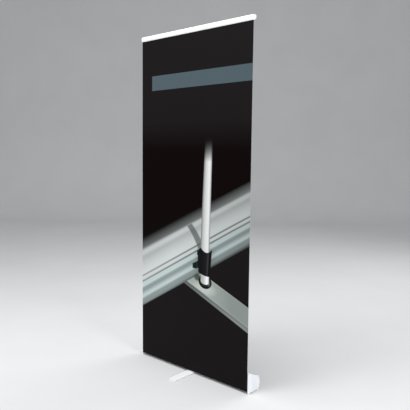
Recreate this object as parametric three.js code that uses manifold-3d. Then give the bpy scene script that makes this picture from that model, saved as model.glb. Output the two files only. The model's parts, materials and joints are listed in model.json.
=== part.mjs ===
// Roll-up banner stand: a floor cassette with a spring roller, a graphic that leaves through the
// bottom front lip and rises to a clamp rail, a leaning telescopic pole and one swivelling foot.
// Millimetres, +Z up. The origin is on the floor under the foot's pivot; -Y is the graphic's side.
import * as THREE from "three";
import { mergeVertices } from "three/addons/utils/BufferGeometryUtils.js";
import Module from "manifold-3d";

// Overall sizes
const STAND_HEIGHT = 2000; // floor to the top of the raised rail
const GRAPHIC_WIDTH = 850;
const GRAPHIC_THICKNESS = 0.4;
const GRAPHIC_STANDOFF = 2; // graphic's middle plane in front of the end caps
const GAP = 0.3; // between pieces that seat on each other

// Cassette
const CASSETTE_DEPTH = 106;
const CASSETTE_FRONT_HEIGHT = 123;
const CASSETTE_REAR_HEIGHT = 77.5;
const TOP_SAG = 3.4; // how far the sloping top dips below a straight line
const REAR_TUCK = 6.5; // rear top corner in front of the widest point
const WIDEST_HEIGHT = 27; // height of the rear wall's widest point
const REAR_UNDERCUT = 13.5; // rear toe in front of the widest point
const CORNER_FRONT = 2.5;
const CORNER_REAR = 5;
const CORNER_WIDEST = 11;
const FRONT_EDGE_FALL = 0.8; // tiny flat behind the front top corner
const HOUSING_WALL = 1.6;
const HOUSING_CLEAR_OF_FLOOR = 10.3;
const FLOOR_LIP = 15; // bottom wall stops this far behind the front
const GROOVE_WIDTH = 1.3;
const GROOVE_DEPTH = 0.7;
const GROOVE_OFFSETS = [7, 13]; // along the slope from the rear top corner

// End caps
const CAP_PROUD = 1; // caps stand this far outside the housing
const CAP_THICKNESS = 4;
const END_PLAY = 1; // graphic edge to cap
const TOE_LENGTH = 10;
const ARCH_RISE = 4;
const ARCH_RUN = 5;
const ARCH_ROUNDING = 3;
const RIB_LENGTH = 7;
const RIB_WALL = 1.5;
const RIB_FRONT_MARGIN = 14; // rib starts this far behind the front wall

// End cap screws and their channels in the housing
const SCREW_SHANK_R = 1.7;
const SCREW_HEAD_R = 3.4;
const SCREW_HEAD_HEIGHT = 2;
const SCREW_LENGTH = 16;
const PORT_WALL = 1.4;
const PORT_OPENING_DEG = 70;
const PORT_SEAT = 0.8; // how far a channel sinks into the wall it grows from

// Glide on the front lip
const GLIDE_RADIUS_CLEAR = 0.3;
const GLIDE_CENTRE_HEIGHT = 17;
const GLIDE_LEG = 5;
const GLIDE_LEG_TIP = 0.9;

// Roller and its spring
const ROLLER_RADIUS = 16;
const ROLLER_WALL = 1.5;
const ROLLER_Y = -4;
const ROLLER_HEIGHT = 54;
const ROLLER_END_PLAY = 2.5; // roller end to cap
const ROLL_PITCH = 0.8;
const ROLL_TURNS = 2.5;
const PLUG_LENGTH = 18;
const PLUG_INSET = 12; // plug face behind the roller's end
const AXLE_RADIUS = 4;
const BOSS_WALL = 3;
const BOSS_LENGTH = 10;
const MANDREL_LENGTH = 232;
const IDLER_PIN_LENGTH = 28;
const SPRING_WIRE_R = 0.8;
const SPRING_COIL_R = 7.5;
const SPRING_TURNS = 22;
const ANCHOR_LENGTH = 18;
const ANCHOR_RADIUS = 10;

// Foot
const FOOT_LENGTH = 414;
const FOOT_WIDTH = 50;
const FOOT_THICKNESS = 8;
const FOOT_BEVEL = 2.5;
const FOOT_BEVEL_FALL = 1.6;
const FOOT_CORNER = 3;
const PAD_THICKNESS = 1;
const PAD_LENGTH = 20;
const PAD_MARGIN = 4;
const RING_WALL = 1.6;
const RING_CLEAR = 5.3; // pole to ring, all round
const PIVOT_RADIUS = 4;
const PIVOT_HEAD_R = 7;
const PIVOT_HEAD_HEIGHT = 3.8;
const PIVOT_HEAD_RECESS = 4.4;
const PIVOT_CLEAR = 0.4;
const WASHER_RADIUS = 11;
const WASHER_PLAY = 0.1;
const NUT_HEIGHT = 6.5;
const NUT_FLAT_R = 6.5;

// Pole
const POLE_LOWER_R = 11;
const TUBE_WALL = 1.2;
const POLE_DIP = 2; // pole end below the foot's top face
const TUBE_OVERLAP = 55;
const PLUG_HEAD = 3.7;
const PLUG_DEPTH = 18;
const LOCK_WALL = 3;
const LOCK_GRIP = 18;
const LOCK_REACH = 24;
const TIP_LENGTH = 24; // fitting above the upper tube
const TIP_COLLAR = 9;
const TONGUE_R = 3;
const TIP_PLUG = 22;
const POLE_CLEAR_OF_GRAPHIC = 1.5; // upper tube's skin behind the graphic at the rail

// Clamp on the back of the cassette
const CLAMP_WALL = 3.2;
const CLAMP_CLEAR_OF_CASSETTE = 0.7;
const CLAMP_BOTTOM = 21;
const CLAMP_TOP = 86;
const PAD_PLATE_HALF_WIDTH = 27;
const PAD_PLATE_HALF_HEIGHT = 17;
const PAD_PLATE_THICKNESS = 4;
const PAD_PLATE_HEIGHT = 51; // plate centre above the floor
const WEB_HALF_WIDTH = 10;
const CLAMP_SCREW_SPACING = 40;
const CLAMP_SCREW_R = 2;
const CLAMP_SCREW_HEAD_R = 4;
const CLAMP_SCREW_HEAD_HEIGHT = 2.4;
const CLAMP_SCREW_LENGTH = 12;
const KNOB_HEIGHT = 41; // along the pole
const KNOB_RADIUS = 7;
const KNOB_LENGTH = 14;
const KNOB_SHANK_R = 3;
const KNOB_BOSS_WALL = 3;
const KNOB_BOSS_LENGTH = 4;
const KNOB_LOBES = 8;
const KNOB_FLUTE = 0.5;

// Top rail
const RAIL_HEIGHT = 28;
const RAIL_WALL = 1.6;
const RAIL_FRONT_BULGE = 5; // front shell in front of the graphic's face
const RAIL_GROOVE_WIDTH = 9.9;
const RAIL_GROOVE_CEILING = 12.4; // below the rail's top
const RAIL_REAR_LIP = 17; // rear lip's edge below the rail's top
const RAIL_ROUNDING = 5;
const RAIL_BELLY_HEIGHT = 7; // bulge starts this far above the rail's lower edge
const RAIL_BELLY_ROUNDING = 8;
const RAIL_EDGE_ROUNDING = 1;
const RAIL_TOP_ROUNDING = 2;
const RAIL_REAR_ROUNDING = 3;
const RAIL_CAP_THICKNESS = 2;
const RAIL_CAP_SPIGOT = 6;
const TIP_TO_CEILING = 0.5;

// Facets
const ROUND = 32;
const SMALL_ROUND = 18;
const ARC_STEPS = 5;
const BEND_STEPS = 12;
const SLOPE_STEPS = 6;
const WIRE_FACETS = 6;
const COIL_STEPS = 12;
const LOBE_STEPS = 6;
const FILLET_SHARE = 0.48; // most of an edge that one fillet takes
const MERGE_DISTANCE = 1e-4;

const wasm = await Module();
wasm.setup();

const X = new THREE.Vector3(1, 0, 0);
const Y = new THREE.Vector3(0, 1, 0);
const Z = new THREE.Vector3(0, 0, 1);

// ---- solids ----

function solidOf(geometry) {
  const bare = geometry.index ? geometry.toNonIndexed() : geometry.clone();
  bare.deleteAttribute("normal");
  bare.deleteAttribute("uv");
  const merged = mergeVertices(bare, MERGE_DISTANCE);
  return new wasm.Manifold(
    new wasm.Mesh({
      numProp: 3,
      vertProperties: merged.attributes.position.array,
      triVerts: new Uint32Array(merged.index.array),
    }),
  );
}

function geometryOf(made) {
  const mesh = made.getMesh();
  const geometry = new THREE.BufferGeometry();
  const position = new THREE.BufferAttribute(new Float32Array(mesh.vertProperties), 3);
  geometry.setAttribute("position", position);
  geometry.setIndex(new THREE.BufferAttribute(new Uint32Array(mesh.triVerts), 1));
  geometry.computeVertexNormals();
  return geometry;
}

function join(...geometries) {
  return geometryOf(geometries.map(solidOf).reduce((a, b) => a.add(b)));
}

function cut(geometry, ...tools) {
  return geometryOf(tools.map(solidOf).reduce((a, b) => a.subtract(b), solidOf(geometry)));
}

function common(a, b) {
  return geometryOf(solidOf(a).intersect(solidOf(b)));
}

// ---- outlines ----

const circle = (radius, count = ROUND, cx = 0, cy = 0) =>
  Array.from({ length: count }, (_, i) => {
    const a = (2 * Math.PI * i) / count;
    return [cx + radius * Math.cos(a), cy + radius * Math.sin(a)];
  });

function arc(cx, cy, radius, from, to, steps) {
  return Array.from({ length: steps + 1 }, (_, i) => {
    const a = from + ((to - from) * i) / steps;
    return [cx + radius * Math.cos(a), cy + radius * Math.sin(a)];
  });
}

// Rounds the corners of a polyline whose points are [a, b, radius].
function filleted(points, closed) {
  const out = [];
  const n = points.length;
  points.forEach(([px, py, r = 0], i) => {
    const end = !closed && (i === 0 || i === n - 1);
    if (end || r <= 0) {
      out.push([px, py]);
      return;
    }
    const before = points[(i + n - 1) % n];
    const after = points[(i + 1) % n];
    const u = new THREE.Vector2(before[0] - px, before[1] - py);
    const v = new THREE.Vector2(after[0] - px, after[1] - py);
    const half = u.angleTo(v) / 2;
    const most = FILLET_SHARE * Math.min(u.length(), v.length());
    const run = Math.min(r / Math.tan(half), most);
    const radius = run * Math.tan(half);
    u.normalize();
    v.normalize();
    const toCentre = u.clone().add(v).normalize().multiplyScalar(radius / Math.sin(half));
    const cx = px + toCentre.x;
    const cy = py + toCentre.y;
    const from = Math.atan2(py + u.y * run - cy, px + u.x * run - cx);
    let sweep = Math.atan2(py + v.y * run - cy, px + v.x * run - cx) - from;
    if (sweep > Math.PI) sweep -= 2 * Math.PI;
    if (sweep < -Math.PI) sweep += 2 * Math.PI;
    out.push(...arc(cx, cy, radius, from, from + sweep, ARC_STEPS));
  });
  return out;
}

// Moves an open polyline sideways, to its right-hand side for a positive distance.
function offsetLine(points, distance) {
  const normals = points.slice(1).map(([x, y], i) => {
    const d = new THREE.Vector2(x - points[i][0], y - points[i][1]).normalize();
    return new THREE.Vector2(d.y, -d.x);
  });
  return points.map(([x, y, ...rest], i) => {
    const a = normals[Math.max(i - 1, 0)];
    const b = normals[Math.min(i, normals.length - 1)];
    const mitre = a.clone().add(b).normalize();
    const k = distance / mitre.dot(a);
    return [x + mitre.x * k, y + mitre.y * k, ...rest];
  });
}

function band(line, thickness) {
  const near = offsetLine(line, -thickness / 2);
  const far = offsetLine(line, thickness / 2);
  return [...near, ...far.reverse()];
}

// ---- extrusions and turned pieces ----

function shapeOf(outline, holes = []) {
  const shape = new THREE.Shape(outline.map(([a, b]) => new THREE.Vector2(a, b)));
  holes.forEach((h) => shape.holes.push(new THREE.Path(h.map(([a, b]) => new THREE.Vector2(a, b)))));
  return shape;
}

function extruded(outline, length, holes) {
  return new THREE.ExtrudeGeometry(shapeOf(outline, holes), { depth: length, bevelEnabled: false });
}

// Outline in (y, z), extruded between two x positions.
function alongX(outline, xa, xb, holes) {
  const geometry = extruded(outline, Math.abs(xb - xa), holes);
  geometry.applyMatrix4(new THREE.Matrix4().makeBasis(Y, Z, X));
  return geometry.translate(Math.min(xa, xb), 0, 0);
}

// Outline in (x, z), extruded between two y positions.
function alongY(outline, ya, yb) {
  const geometry = extruded(outline, Math.abs(yb - ya));
  geometry.applyMatrix4(new THREE.Matrix4().makeBasis(X, Z, Y.clone().negate()));
  return geometry.translate(0, Math.max(ya, yb), 0);
}

// Outline in (x, y), extruded between two z positions.
function alongZ(outline, za, zb, holes) {
  return extruded(outline, Math.abs(zb - za), holes).translate(0, 0, Math.min(za, zb));
}

// Turned about Z from a profile of [radius, height].
function turned(profile, facets = ROUND) {
  const points = profile.map(([r, h]) => new THREE.Vector2(r, h));
  return new THREE.LatheGeometry(points, facets).rotateX(Math.PI / 2);
}

function sleeve(inner, outer, za, zb, facets) {
  return turned([[outer, za], [outer, zb], [inner, zb], [inner, za], [outer, za]], facets);
}

function disc(radius, za, zb, facets) {
  return turned([[0, za], [radius, za], [radius, zb], [0, zb]], facets);
}

const rodX = (radius, xa, xb, y, z, facets) => alongX(circle(radius, facets, y, z), xa, xb);

// ---- places worked out from the sizes above ----

const FRONT_Y = -CASSETTE_DEPTH / 2;
const GRAPHIC_Y = FRONT_Y - GRAPHIC_STANDOFF;
const CAP_INNER_X = GRAPHIC_WIDTH / 2 + END_PLAY;
const CAP_OUTER_X = CAP_INNER_X + CAP_THICKNESS;
const FOOT_TOP = PAD_THICKNESS + FOOT_THICKNESS;
const CEILING_Z = STAND_HEIGHT - RAIL_GROOVE_CEILING;
const RAIL_BACK_Y = GRAPHIC_Y + GRAPHIC_THICKNESS / 2 + GAP; // back shell's face on the graphic
const RAIL_FRONT_Y = GRAPHIC_Y - GRAPHIC_THICKNESS / 2 - GAP; // front shell's face on the graphic
const POLE_MIDDLE_R = POLE_LOWER_R - TUBE_WALL - GAP;
const POLE_UPPER_R = POLE_MIDDLE_R - TUBE_WALL - GAP;
const tipAxisY = GRAPHIC_Y + GRAPHIC_THICKNESS / 2 + POLE_UPPER_R + POLE_CLEAR_OF_GRAPHIC;
const GROOVE_FRONT_Y = tipAxisY - TONGUE_R - GAP;
const GROOVE_REAR_Y = GROOVE_FRONT_Y + RAIL_GROOVE_WIDTH;

const CLAMP_R = POLE_LOWER_R + GAP + CLAMP_WALL;
const poleFootY = CASSETTE_DEPTH / 2 + CLAMP_R + CLAMP_CLEAR_OF_CASSETTE;
const POLE_FOOT = new THREE.Vector3(0, poleFootY, FOOT_TOP - POLE_DIP);
const POLE_HEAD = new THREE.Vector3(0, tipAxisY, CEILING_Z - TIP_TO_CEILING);
const POLE_LENGTH = POLE_HEAD.distanceTo(POLE_FOOT);
const POLE_LEAN = Math.atan2(POLE_FOOT.y - POLE_HEAD.y, POLE_HEAD.z - POLE_FOOT.z);
const TUBES_TOP = POLE_LENGTH - TIP_LENGTH;
const SECTION = (TUBES_TOP - PLUG_HEAD - GAP + 2 * TUBE_OVERLAP) / 3;
const LOWER_START = PLUG_HEAD + GAP;
const LOWER_END = LOWER_START + SECTION;
const MIDDLE_START = LOWER_END - TUBE_OVERLAP;
const MIDDLE_END = MIDDLE_START + SECTION;
const UPPER_START = MIDDLE_END - TUBE_OVERLAP;

// Cassette's outside as a line from the front lip, over the top and down the back.
function shellLine(inset, lowFront, lowRear) {
  const slopeStart = [FRONT_Y + CORNER_FRONT, CASSETTE_FRONT_HEIGHT - FRONT_EDGE_FALL];
  const slopeEnd = [-FRONT_Y - REAR_TUCK, CASSETTE_REAR_HEIGHT];
  const slope = Array.from({ length: SLOPE_STEPS - 1 }, (_, i) => {
    const t = (i + 1) / SLOPE_STEPS;
    return [
      THREE.MathUtils.lerp(slopeStart[0], slopeEnd[0], t),
      THREE.MathUtils.lerp(slopeStart[1], slopeEnd[1], t) - 4 * TOP_SAG * t * (1 - t),
    ];
  });
  const toeY = -FRONT_Y - REAR_UNDERCUT;
  const rearLow = THREE.MathUtils.lerp(toeY, -FRONT_Y, lowRear / WIDEST_HEIGHT);
  const line = [
    [FRONT_Y, lowFront, 0],
    [FRONT_Y, CASSETTE_FRONT_HEIGHT, Math.max(CORNER_FRONT - inset, GAP)],
    ...slope,
    [...slopeEnd, Math.max(CORNER_REAR - inset, GAP)],
    [-FRONT_Y, WIDEST_HEIGHT, Math.max(CORNER_WIDEST - inset, GAP)],
    [rearLow, lowRear, 0],
  ];
  return offsetLine(line, inset);
}

// y of the housing's outer rear wall at a height between the widest point and the rear corner
const rearSlope = REAR_TUCK / (CASSETTE_REAR_HEIGHT - WIDEST_HEIGHT);
const rearWallY = (z) => -FRONT_Y - (z - WIDEST_HEIGHT) * rearSlope;

// ---- scene graph ----

const stand = new THREE.Group();
const cassette = new THREE.Group();
const foot = new THREE.Group();
const pole = new THREE.Group();
const rail = new THREE.Group();
pole.position.copy(POLE_FOOT);
pole.rotation.x = POLE_LEAN;
rail.position.z = STAND_HEIGHT;
stand.add(cassette, foot, pole, rail);

const FINISHES = {
  white_plastic: { color: 0xeef0f4, roughness: 0.45, metalness: 0 },
  black_plastic: { color: 0x1c1c1f, roughness: 0.5, metalness: 0 },
  rubber: { color: 0x202022, roughness: 0.9, metalness: 0 },
  silver: { color: 0xc9cfcd, roughness: 0.35, metalness: 0.9 },
  rail_silver: { color: 0xf2f5f4, roughness: 0.4, metalness: 0.4 },
  steel: { color: 0xb8babd, roughness: 0.35, metalness: 1 },
  graphic: { color: 0x1f1b1c, roughness: 0.55, metalness: 0 },
  nylon: { color: 0xd8d6d0, roughness: 0.6, metalness: 0 },
};

function piece(group, name, geometry, finish) {
  const mesh = new THREE.Mesh(geometry, new THREE.MeshStandardMaterial(FINISHES[finish]));
  mesh.name = name;
  group.add(mesh);
  return mesh;
}

// ---- cassette housing ----

const PORT_R = SCREW_SHANK_R + GAP;
const PORT_OUTER_R = PORT_R + PORT_WALL;
const portReach = CAP_PROUD + HOUSING_WALL + PORT_OUTER_R - PORT_SEAT;
const interior = offsetLine(shellLine(0, 0, 0), portReach);
const lineIndex = { frontTop: 1, rearTop: SLOPE_STEPS + 1, widest: SLOPE_STEPS + 2 };
const portPlaces = [
  { at: interior[lineIndex.frontTop], open: -Math.PI / 4 },
  { at: interior[lineIndex.rearTop], open: (-3 * Math.PI) / 4 },
  { at: interior[lineIndex.widest], open: Math.PI },
];

function portOutline({ at, open }) {
  const half = THREE.MathUtils.degToRad(PORT_OPENING_DEG / 2);
  const outer = arc(at[0], at[1], PORT_OUTER_R, open + half, open + 2 * Math.PI - half, SMALL_ROUND);
  const inner = arc(at[0], at[1], PORT_R, open + half, open + 2 * Math.PI - half, SMALL_ROUND);
  return [...outer, ...inner.reverse()];
}

const housingFrontLow = GLIDE_CENTRE_HEIGHT + GAP;
const outerSkin = shellLine(CAP_PROUD, housingFrontLow, HOUSING_CLEAR_OF_FLOOR);
const innerSkin = shellLine(CAP_PROUD + HOUSING_WALL, housingFrontLow, HOUSING_CLEAR_OF_FLOOR);

// Ends a rear wall line at a height, then runs it forward to the floor lip.
function withFloor(line, z) {
  const [a, b] = line.slice(-2);
  const t = (z - a[1]) / (b[1] - a[1]);
  const corner = [THREE.MathUtils.lerp(a[0], b[0], t), z, CORNER_FRONT];
  return [...line.slice(0, -1), corner, [FRONT_Y + FLOOR_LIP, z, 0]];
}

const housingOutline = [
  ...filleted(withFloor(outerSkin, HOUSING_CLEAR_OF_FLOOR), false),
  ...filleted(withFloor(innerSkin, HOUSING_CLEAR_OF_FLOOR + HOUSING_WALL), false).reverse(),
];
housingOutline.reverse();

// A fine groove along the slope, measured from the rear top corner.
function grooveTool(distance) {
  const corner = outerSkin[lineIndex.rearTop];
  const before = outerSkin[lineIndex.rearTop - 1];
  const dir = new THREE.Vector2(before[0] - corner[0], before[1] - corner[1]).normalize();
  const up = new THREE.Vector2(-dir.y, dir.x);
  if (up.y < 0) up.negate();
  const at = (d, h) => [corner[0] + dir.x * d + up.x * h, corner[1] + dir.y * d + up.y * h];
  const outline = [
    at(distance + GROOVE_WIDTH / 2, -GROOVE_DEPTH),
    at(distance - GROOVE_WIDTH / 2, -GROOVE_DEPTH),
    at(distance - GROOVE_WIDTH / 2, GROOVE_DEPTH),
    at(distance + GROOVE_WIDTH / 2, GROOVE_DEPTH),
  ];
  return alongX(outline, -CAP_INNER_X - CAP_THICKNESS, CAP_INNER_X + CAP_THICKNESS);
}

// Frame on the housing's rear wall at the clamp plate's centre, local +Z pointing away from it
const rearTilt = Math.atan(rearSlope);
const seatY = rearWallY(PAD_PLATE_HEIGHT) - CAP_PROUD / Math.cos(rearTilt);
const clampSeat = new THREE.Matrix4()
  .makeTranslation(0, seatY, PAD_PLATE_HEIGHT)
  .multiply(new THREE.Matrix4().makeRotationX(rearTilt - Math.PI / 2));
const onSeat = (geometry, x = 0) => geometry.translate(x, 0, 0).applyMatrix4(clampSeat);
const onPole = new THREE.Matrix4()
  .makeTranslation(POLE_FOOT.x, POLE_FOOT.y, POLE_FOOT.z)
  .multiply(new THREE.Matrix4().makeRotationX(POLE_LEAN));

const clampScrewX = CLAMP_SCREW_SPACING / 2;
const screwTool = (x) =>
  onSeat(disc(CLAMP_SCREW_R + GAP, -CLAMP_SCREW_LENGTH, CLAMP_SCREW_LENGTH, SMALL_ROUND), x);

const housingBody = join(
  alongX(housingOutline, -CAP_INNER_X, CAP_INNER_X),
  ...portPlaces.map((place) => alongX(portOutline(place), -CAP_INNER_X, CAP_INNER_X)),
);
piece(
  cassette,
  "cassette_housing",
  cut(
    housingBody,
    ...GROOVE_OFFSETS.map(grooveTool),
    screwTool(-clampScrewX),
    screwTool(clampScrewX),
    disc(PIVOT_RADIUS + GAP, 0, HOUSING_CLEAR_OF_FLOOR + 2 * HOUSING_WALL, SMALL_ROUND),
  ),
  "silver",
);

// ---- end caps, their screws ----

const capOutline = (() => {
  const toeY = -FRONT_Y - REAR_UNDERCUT;
  const line = shellLine(0, 0, 0);
  const under = [
    [toeY - TOE_LENGTH, 0, 0],
    [toeY - TOE_LENGTH - ARCH_RUN, ARCH_RISE, ARCH_ROUNDING],
    [FRONT_Y + TOE_LENGTH + ARCH_RUN, ARCH_RISE, ARCH_ROUNDING],
    [FRONT_Y + TOE_LENGTH, 0, 0],
  ];
  return filleted([...line, ...under], true).reverse();
})();

const ENDS = [
  { side: -1, label: "left" },
  { side: 1, label: "right" },
];

function endCap(side) {
  const inner = side * CAP_INNER_X;
  const outer = side * CAP_OUTER_X;
  const ribTip = side * (CAP_INNER_X - RIB_LENGTH);
  const ribInset = CAP_PROUD + HOUSING_WALL + GAP + RIB_WALL / 2;
  const fullRib = shellLine(ribInset, housingFrontLow, HOUSING_CLEAR_OF_FLOOR);
  const ribLine = fullRib.slice(2, -1).filter(([y]) => y > FRONT_Y + RIB_FRONT_MARGIN);
  const atPort = (radius, xa, xb, { at }) => rodX(radius, xa, xb, at[0], at[1], SMALL_ROUND);
  const rib = cut(
    alongX(band(filleted(ribLine, false), RIB_WALL).reverse(), ribTip, inner + side * RIB_WALL),
    ...portPlaces.map((place) => atPort(PORT_OUTER_R + GAP, ribTip - side, inner, place)),
  );
  const bossTip = side * (CAP_INNER_X - BOSS_LENGTH);
  const socketR = AXLE_RADIUS + GAP;
  const past = inner + side;
  const boss = rodX(socketR + BOSS_WALL, bossTip, past, ROLLER_Y, ROLLER_HEIGHT);
  const socket = rodX(socketR, bossTip - side, past, ROLLER_Y, ROLLER_HEIGHT, SMALL_ROUND);
  const headFloor = outer - side * (SCREW_HEAD_HEIGHT + GAP);
  const holes = portPlaces.flatMap((place) => [
    atPort(SCREW_SHANK_R + GAP, inner - side, outer + side, place),
    atPort(SCREW_HEAD_R + GAP, headFloor, outer + side, place),
  ]);
  return cut(join(alongX(capOutline, inner, outer), rib, boss), socket, ...holes);
}

const CAP_SCREWS = ["front", "top", "rear"];
ENDS.forEach(({ side, label }) => {
  piece(cassette, `end_cap_${label}`, endCap(side), "white_plastic");
  portPlaces.forEach(({ at }, i) => {
    const headBase = CAP_OUTER_X - SCREW_HEAD_HEIGHT;
    const screw = turned(
      [
        [0, headBase - SCREW_LENGTH],
        [SCREW_SHANK_R, headBase - SCREW_LENGTH],
        [SCREW_SHANK_R, headBase],
        [SCREW_HEAD_R, headBase],
        [SCREW_HEAD_R, headBase + SCREW_HEAD_HEIGHT / 2],
        [SCREW_HEAD_R / 2, headBase + SCREW_HEAD_HEIGHT - GAP],
        [0, headBase + SCREW_HEAD_HEIGHT - GAP],
      ],
      SMALL_ROUND,
    );
    const mesh = piece(cassette, `end_cap_screw_${label}_${CAP_SCREWS[i]}`, screw, "steel");
    mesh.rotation.y = (side * Math.PI) / 2;
    mesh.position.set(0, at[0], at[1]);
  });
});

// ---- glide on the front lip, graphic ----

const frontWallY = FRONT_Y + CAP_PROUD + HOUSING_WALL / 2;
const GLIDE_R = frontWallY - GRAPHIC_Y - GRAPHIC_THICKNESS / 2 - GLIDE_RADIUS_CLEAR;
const slotHalf = HOUSING_WALL / 2 + GAP;
const glideOutline = [
  ...arc(frontWallY, GLIDE_CENTRE_HEIGHT, GLIDE_R, Math.PI, 2 * Math.PI, BEND_STEPS),
  [frontWallY + slotHalf + GLIDE_LEG_TIP, GLIDE_CENTRE_HEIGHT + GLIDE_LEG],
  [frontWallY + slotHalf, GLIDE_CENTRE_HEIGHT + GLIDE_LEG],
  [frontWallY + slotHalf, GLIDE_CENTRE_HEIGHT],
  [frontWallY - slotHalf, GLIDE_CENTRE_HEIGHT],
  [frontWallY - slotHalf, GLIDE_CENTRE_HEIGHT + GLIDE_LEG],
  [frontWallY - slotHalf - GLIDE_LEG_TIP, GLIDE_CENTRE_HEIGHT + GLIDE_LEG],
];
piece(
  cassette,
  "exit_glide",
  alongX(glideOutline, -CAP_INNER_X + GAP, CAP_INNER_X - GAP),
  "nylon",
);

// The graphic passes under the glide and runs back to the lowest point of the roll.
const ROLL_INNER_R = ROLLER_RADIUS + GAP + GRAPHIC_THICKNESS / 2;
const ROLL_OUTER_R = ROLL_INNER_R + ROLL_TURNS * ROLL_PITCH;
const turnR = GLIDE_R + GLIDE_RADIUS_CLEAR + GRAPHIC_THICKNESS / 2;
const tangentR = ROLL_OUTER_R + GRAPHIC_THICKNESS + GAP;
const toRoller = new THREE.Vector2(ROLLER_Y - frontWallY, ROLLER_HEIGHT - GLIDE_CENTRE_HEIGHT);
const leadAngle = toRoller.angle() - Math.asin((tangentR - turnR) / toRoller.length());
const leadEnd = [
  ROLLER_Y + tangentR * Math.sin(leadAngle),
  ROLLER_HEIGHT - tangentR * Math.cos(leadAngle),
];
const leadTop = GLIDE_CENTRE_HEIGHT + GRAPHIC_STANDOFF;
const leadLine = [
  [GRAPHIC_Y, leadTop],
  ...arc(frontWallY, GLIDE_CENTRE_HEIGHT, turnR, Math.PI, 1.5 * Math.PI + leadAngle, BEND_STEPS),
  leadEnd,
];
const halfGraphic = GRAPHIC_WIDTH / 2;
piece(
  cassette,
  "graphic_lead",
  alongX(band(leadLine, GRAPHIC_THICKNESS).reverse(), -halfGraphic, halfGraphic),
  "graphic",
);

const panelTop = STAND_HEIGHT - RAIL_GROOVE_CEILING;
const panelOutline = [
  [GRAPHIC_Y - GRAPHIC_THICKNESS / 2, leadTop],
  [GRAPHIC_Y + GRAPHIC_THICKNESS / 2, leadTop],
  [GRAPHIC_Y + GRAPHIC_THICKNESS / 2, panelTop],
  [GRAPHIC_Y - GRAPHIC_THICKNESS / 2, panelTop],
];
piece(cassette, "graphic_panel", alongX(panelOutline, -halfGraphic, halfGraphic), "graphic");

const spiral = Array.from({ length: ROLL_TURNS * ROUND + 1 }, (_, i) => {
  const turn = i / ROUND;
  const radius = ROLL_INNER_R + turn * ROLL_PITCH;
  const a = leadAngle - Math.PI / 2 - 2 * Math.PI * (ROLL_TURNS - turn);
  return [ROLLER_Y + radius * Math.cos(a), ROLLER_HEIGHT + radius * Math.sin(a)];
});
piece(
  cassette,
  "graphic_roll",
  alongX(band(spiral, GRAPHIC_THICKNESS).reverse(), -halfGraphic, halfGraphic),
  "graphic",
);

// ---- roller, plugs, spring ----

const rollerEndX = CAP_INNER_X - ROLLER_END_PLAY;
const rollerBore = ROLLER_RADIUS - ROLLER_WALL;
const ringX = (outer, inner, xa, xb, facets) =>
  alongX(circle(outer, facets, ROLLER_Y, ROLLER_HEIGHT), xa, xb, [
    circle(inner, facets, ROLLER_Y, ROLLER_HEIGHT).reverse(),
  ]);
piece(cassette, "roller_tube", ringX(ROLLER_RADIUS, rollerBore, -rollerEndX, rollerEndX), "silver");

const plugOuterX = rollerEndX - PLUG_INSET;
const plugInnerX = plugOuterX - PLUG_LENGTH;
const plugRing = (xa, xb) => ringX(rollerBore - GAP, AXLE_RADIUS + GAP, xa, xb);
piece(cassette, "roller_plug_drive", plugRing(plugInnerX, plugOuterX), "black_plastic");
piece(cassette, "roller_plug_idler", plugRing(-plugOuterX, -plugInnerX), "black_plastic");

const axleTipX = CAP_INNER_X - GAP;
const mandrelEndX = axleTipX - MANDREL_LENGTH;
piece(
  cassette,
  "spring_mandrel",
  rodX(AXLE_RADIUS, mandrelEndX, axleTipX, ROLLER_Y, ROLLER_HEIGHT, SMALL_ROUND),
  "steel",
);
piece(
  cassette,
  "idler_pin",
  rodX(AXLE_RADIUS, -axleTipX, -axleTipX + IDLER_PIN_LENGTH, ROLLER_Y, ROLLER_HEIGHT, SMALL_ROUND),
  "steel",
);
piece(
  cassette,
  "spring_anchor",
  ringX(ANCHOR_RADIUS, AXLE_RADIUS + GAP, mandrelEndX, mandrelEndX + ANCHOR_LENGTH),
  "black_plastic",
);

class Coil extends THREE.Curve {
  constructor(radius, turns, xa, xb) {
    super();
    Object.assign(this, { radius, turns, xa, xb });
  }
  getPoint(t, target = new THREE.Vector3()) {
    const a = 2 * Math.PI * this.turns * t;
    return target.set(
      THREE.MathUtils.lerp(this.xa, this.xb, t),
      ROLLER_Y + this.radius * Math.cos(a),
      ROLLER_HEIGHT + this.radius * Math.sin(a),
    );
  }
}
const springFrom = mandrelEndX + ANCHOR_LENGTH + GAP + SPRING_WIRE_R;
const springTo = plugInnerX - GAP - SPRING_WIRE_R;
piece(
  cassette,
  "torsion_spring",
  new THREE.ExtrudeGeometry(shapeOf(circle(SPRING_WIRE_R, WIRE_FACETS)), {
    steps: SPRING_TURNS * COIL_STEPS,
    extrudePath: new Coil(SPRING_COIL_R, SPRING_TURNS, springFrom, springTo),
  }),
  "steel",
);

// ---- foot ----

const halfFoot = FOOT_WIDTH / 2;
const footSection = [
  [-halfFoot, PAD_THICKNESS],
  [halfFoot, PAD_THICKNESS],
  [halfFoot, FOOT_TOP - FOOT_BEVEL_FALL],
  [halfFoot - FOOT_BEVEL, FOOT_TOP],
  [-halfFoot + FOOT_BEVEL, FOOT_TOP],
  [-halfFoot, FOOT_TOP - FOOT_BEVEL_FALL],
];
const halfLength = FOOT_LENGTH / 2;
const footPlan = filleted(
  [
    [-halfFoot, -halfLength, FOOT_CORNER],
    [halfFoot, -halfLength, FOOT_CORNER],
    [halfFoot, halfLength, FOOT_CORNER],
    [-halfFoot, halfLength, FOOT_CORNER],
  ],
  true,
);
const ringInner = POLE_LOWER_R + RING_CLEAR;
const ringOuter = ringInner + RING_WALL;
const ringY = POLE_FOOT.y - (POLE_DIP / 2) * Math.tan(POLE_LEAN);
const footBody = common(
  alongY(footSection, -halfLength, halfLength),
  alongZ(footPlan, 0, FOOT_TOP + PAD_THICKNESS),
);
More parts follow.
